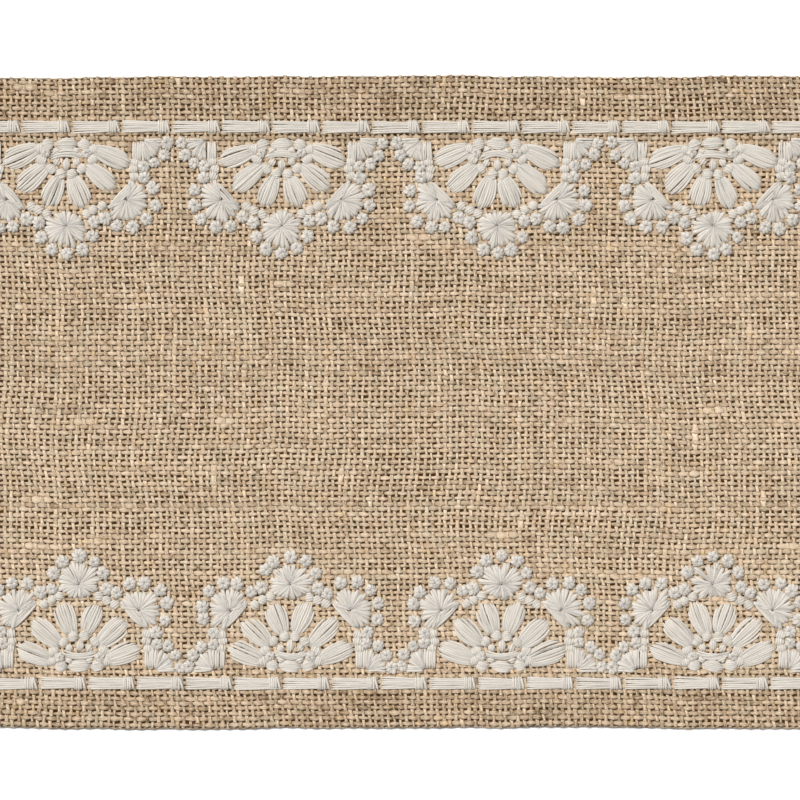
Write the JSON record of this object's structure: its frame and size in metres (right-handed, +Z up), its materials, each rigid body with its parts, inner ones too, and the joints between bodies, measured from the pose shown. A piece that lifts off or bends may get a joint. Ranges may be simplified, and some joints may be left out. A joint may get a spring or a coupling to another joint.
{
  "type": "table runner",
  "caption": "Long hessian table runner with turned hems and off-white embroidered scallop borders inside both long edges, lying flat to cover the middle of a table.",
  "frame": {"origin": "on the table surface, under the middle of the runner", "axes": "+X along the runner, +Y across it, +Z up out of the cloth"},
  "size_m": [1.829, 0.305, 0.0035],
  "materials": {
    "hessian": "open plain weave, matte",
    "hessian_hem": "open plain weave, matte",
    "embroidery_thread": "soft cotton thread, low sheen",
    "sewing_thread": "spun thread, matte"
  },
  "bodies": {
    "root": {"border_bars_back": "embroidery_thread", "border_bars_front": "embroidery_thread", "border_wraps_back": "embroidery_thread", "border_wraps_front": "embroidery_thread", "end_hem_left": "hessian_hem", "end_hem_right": "hessian_hem", "end_hem_stitches_left": "sewing_thread", "end_hem_stitches_right": "sewing_thread", "ground_cloth": "hessian", "quarter_fans_back": "embroidery_thread", "quarter_fans_front": "embroidery_thread", "scallop_back_01": "embroidery_thread", "scallop_back_02": "embroidery_thread", "scallop_back_03": "embroidery_thread", "scallop_back_04": "embroidery_thread", "scallop_back_05": "embroidery_thread", "scallop_back_06": "embroidery_thread", "scallop_back_07": "embroidery_thread", "scallop_back_08": "embroidery_thread", "scallop_back_09": "embroidery_thread", "scallop_back_10": "embroidery_thread", "scallop_back_11": "embroidery_thread", "scallop_back_12": "embroidery_thread", "scallop_back_13": "embroidery_thread", "scallop_back_14": "embroidery_thread", "scallop_back_15": "embroidery_thread", "scallop_back_16": "embroidery_thread", "scallop_back_17": "embroidery_thread", "scallop_back_18": "embroidery_thread", "scallop_front_01": "embroidery_thread", "scallop_front_02": "embroidery_thread", "scallop_front_03": "embroidery_thread", "scallop_front_04": "embroidery_thread", "scallop_front_05": "embroidery_thread", "scallop_front_06": "embroidery_thread", "scallop_front_07": "embroidery_thread", "scallop_front_08": "embroidery_thread", "scallop_front_09": "embroidery_thread", "scallop_front_10": "embroidery_thread", "scallop_front_11": "embroidery_thread", "scallop_front_12": "embroidery_thread", "scallop_front_13": "embroidery_thread", "scallop_front_14": "embroidery_thread", "scallop_front_15": "embroidery_thread", "scallop_front_16": "embroidery_thread", "scallop_front_17": "embroidery_thread", "scallop_front_18": "embroidery_thread", "side_hem_back": "hessian_hem", "side_hem_front": "hessian_hem"}
  },
  "joints": []
}
